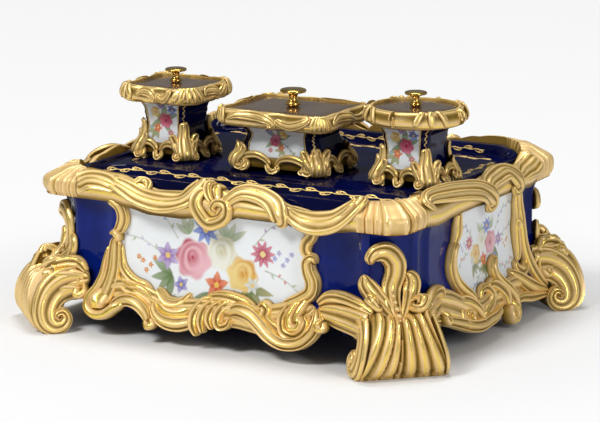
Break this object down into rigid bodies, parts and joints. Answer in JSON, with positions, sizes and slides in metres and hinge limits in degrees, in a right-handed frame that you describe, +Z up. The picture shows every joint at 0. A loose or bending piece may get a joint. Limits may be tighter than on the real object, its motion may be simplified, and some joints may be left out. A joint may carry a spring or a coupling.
{
  "type": "desk inkstand",
  "caption": "Footed porcelain inkstand with a scrolled gilt gallery rim, a pen trough and loose lidded wells.",
  "frame": {"origin": "centre of the footprint, on the surface that the feet stand on", "axes": "+X to the right along the long front, +Y towards the back, +Z up"},
  "size_m": [0.3602, 0.3122, 0.1759],
  "materials": {
    "cobalt_glaze": "glossy cobalt ground with white reserves painted with flowers",
    "gilding": "matt gilding on relief porcelain, burnished on the ridges",
    "white_glaze": "clear glaze over white porcelain",
    "bronze_plate": "polished bronze-brown metal",
    "polished_brass": "turned and polished"
  },
  "bodies": {
    "stand": {"stand_body": "cobalt_glaze", "gallery_rim": "gilding", "scroll_frame_front": "gilding", "scroll_frame_back": "gilding", "scroll_frame_right": "gilding", "scroll_frame_left": "gilding", "scroll_foot_front_left": "gilding", "scroll_foot_front_right": "gilding", "scroll_foot_back_left": "gilding", "scroll_foot_back_right": "gilding", "acanthus_sprig_front_left": "gilding", "acanthus_sprig_front_right": "gilding", "acanthus_sprig_back_left": "gilding", "acanthus_sprig_back_right": "gilding"},
    "left_pot": {"left_pot_base": "gilding", "left_pot_body": "cobalt_glaze", "left_pot_rim": "gilding", "left_pot_liner": "white_glaze"},
    "centre_box": {"centre_box_base": "gilding", "centre_box_body": "cobalt_glaze", "centre_box_rim": "gilding", "centre_box_liner": "white_glaze"},
    "right_pot": {"right_pot_base": "gilding", "right_pot_body": "cobalt_glaze", "right_pot_rim": "gilding", "right_pot_liner": "white_glaze"},
    "left_lid": {"left_pot_lid_plate": "bronze_plate", "left_pot_lid_collar": "polished_brass", "left_pot_lid_knob": "polished_brass", "left_pot_lid_nut": "polished_brass"},
    "centre_lid": {"centre_box_lid_plate": "bronze_plate", "centre_box_lid_collar": "polished_brass", "centre_box_lid_knob": "polished_brass", "centre_box_lid_nut": "polished_brass"},
    "right_lid": {"right_pot_lid_plate": "bronze_plate", "right_pot_lid_collar": "polished_brass", "right_pot_lid_knob": "polished_brass", "right_pot_lid_nut": "polished_brass"}
  },
  "joints": [
    {"name": "left_pot_lift", "type": "slide", "parent": "stand", "child": "left_pot", "axis": [0, 0, 1], "range_m": [0, 0.06]},
    {"name": "left_lid_lift", "type": "slide", "parent": "left_pot", "child": "left_lid", "axis": [0, 0, 1], "range_m": [0, 0.05]},
    {"name": "centre_box_lift", "type": "slide", "parent": "stand", "child": "centre_box", "axis": [0, 0, 1], "range_m": [0, 0.06]},
    {"name": "centre_lid_lift", "type": "slide", "parent": "centre_box", "child": "centre_lid", "axis": [0, 0, 1], "range_m": [0, 0.05]},
    {"name": "right_pot_lift", "type": "slide", "parent": "stand", "child": "right_pot", "axis": [0, 0, 1], "range_m": [0, 0.06]},
    {"name": "right_lid_lift", "type": "slide", "parent": "right_pot", "child": "right_lid", "axis": [0, 0, 1], "range_m": [0, 0.05]}
  ]
}
